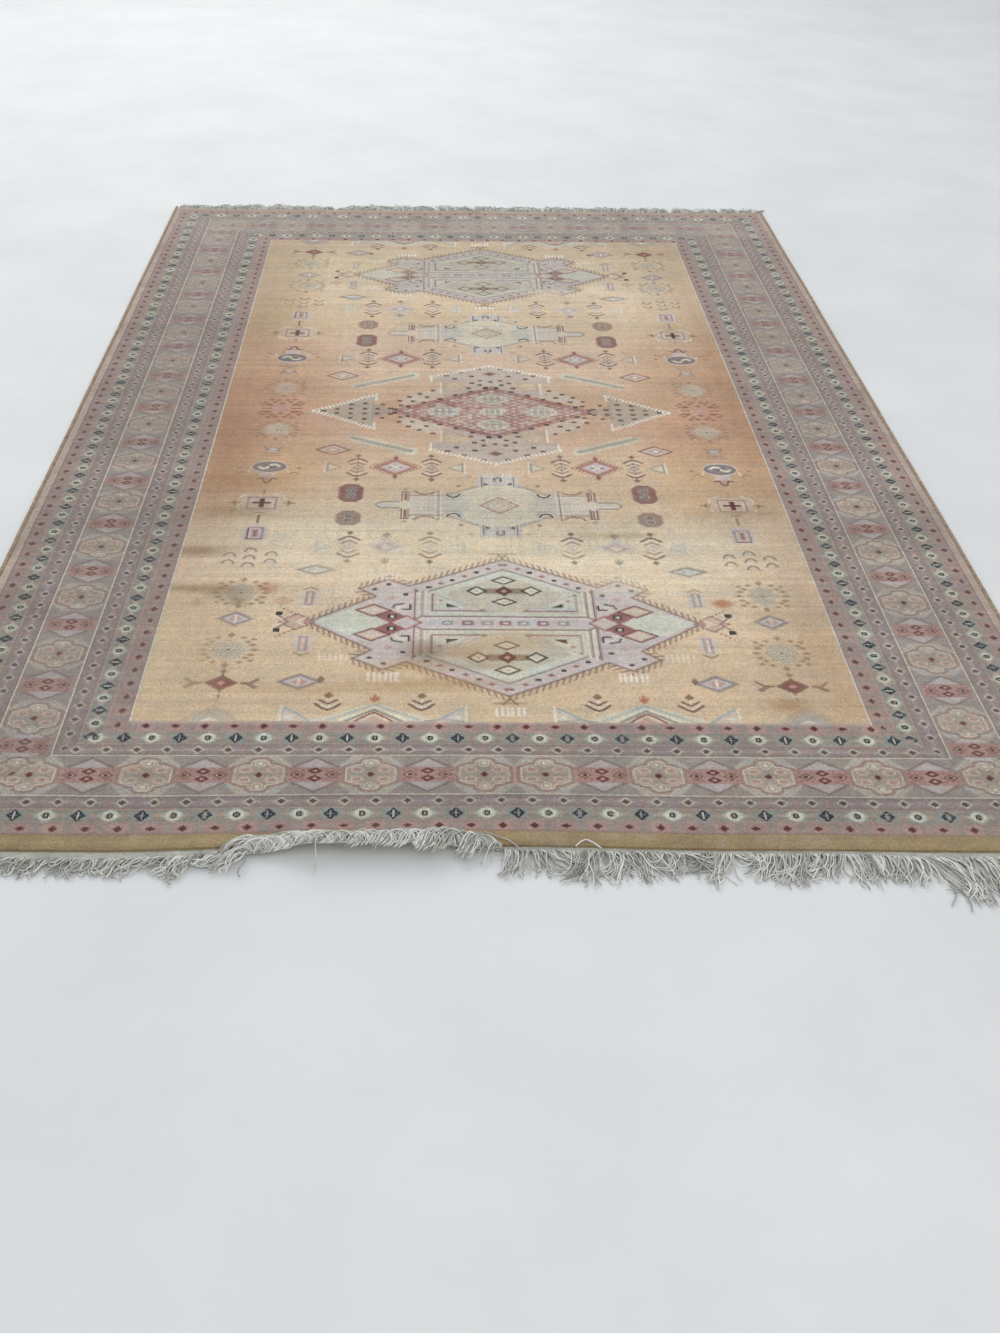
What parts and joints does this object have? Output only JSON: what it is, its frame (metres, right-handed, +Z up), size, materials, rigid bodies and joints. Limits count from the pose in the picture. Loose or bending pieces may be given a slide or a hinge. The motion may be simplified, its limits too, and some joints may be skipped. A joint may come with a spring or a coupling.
{
  "type": "area rug",
  "caption": "Rectangular hand-knotted wool rug with a medallion field, banded borders, bound sides and cotton fringe at both short ends; lies flat on a floor.",
  "frame": {"origin": "on the floor, under the middle of the rug", "axes": "+Z up, +Y along the rug's length from the front end to the back end, +X across its width to the right"},
  "size_m": [1.8402, 2.924, 0.0301],
  "materials": {
    "field_wool": "worn wool pile, pale gold with streaks of tan and orange",
    "rose_wool": "worn wool pile, dusty rose",
    "mint_wool": "worn wool pile, grey green",
    "mauve_wool": "worn wool pile, mauve grey",
    "border_wool": "worn wool pile, mauve grey with cream, rose and dark red figures",
    "tan_wool": "plain worn wool pile, tan",
    "selvedge_wool": "overcast wool yarn, tan",
    "cotton_foundation": "undyed cotton yarn, flat weave",
    "fringe_cotton": "loose cotton yarn, greyed off-white"
  },
  "bodies": {
    "root": {"warp_foundation": "cotton_foundation", "weft_foundation": "cotton_foundation", "field_pile": "field_wool", "inner_rose_guard_left": "rose_wool", "inner_rose_guard_right": "rose_wool", "inner_rose_guard_front": "rose_wool", "inner_rose_guard_back": "rose_wool", "inner_mint_guard_left": "mint_wool", "inner_mint_guard_right": "mint_wool", "inner_mint_guard_front": "mint_wool", "inner_mint_guard_back": "mint_wool", "inner_mauve_guard_left": "mauve_wool", "inner_mauve_guard_right": "mauve_wool", "inner_mauve_guard_front": "mauve_wool", "inner_mauve_guard_back": "mauve_wool", "main_border_left": "border_wool", "main_border_right": "border_wool", "main_border_front": "border_wool", "main_border_back": "border_wool", "outer_mauve_guard_left": "mauve_wool", "outer_mauve_guard_right": "mauve_wool", "outer_mauve_guard_front": "mauve_wool", "outer_mauve_guard_back": "mauve_wool", "outer_mint_guard_left": "mint_wool", "outer_mint_guard_right": "mint_wool", "outer_mint_guard_front": "mint_wool", "outer_mint_guard_back": "mint_wool", "outer_rose_guard_left": "rose_wool", "outer_rose_guard_right": "rose_wool", "outer_rose_guard_front": "rose_wool", "outer_rose_guard_back": "rose_wool", "edge_band_left": "tan_wool", "edge_band_right": "tan_wool", "edge_band_front": "tan_wool", "edge_band_back": "tan_wool", "selvedge_core_left": "cotton_foundation", "selvedge_wrap_left": "selvedge_wool", "selvedge_core_right": "cotton_foundation", "selvedge_wrap_right": "selvedge_wool", "kilim_end_front": "cotton_foundation", "end_knot_row_front": "fringe_cotton", "fringe_front_1": "fringe_cotton", "fringe_front_2": "fringe_cotton", "fringe_front_3": "fringe_cotton", "fringe_front_4": "fringe_cotton", "fringe_front_5": "fringe_cotton", "fringe_front_6": "fringe_cotton", "kilim_end_back": "cotton_foundation", "end_knot_row_back": "fringe_cotton", "fringe_back_1": "fringe_cotton", "fringe_back_2": "fringe_cotton", "fringe_back_3": "fringe_cotton", "fringe_back_4": "fringe_cotton", "fringe_back_5": "fringe_cotton", "fringe_back_6": "fringe_cotton"}
  },
  "joints": []
}
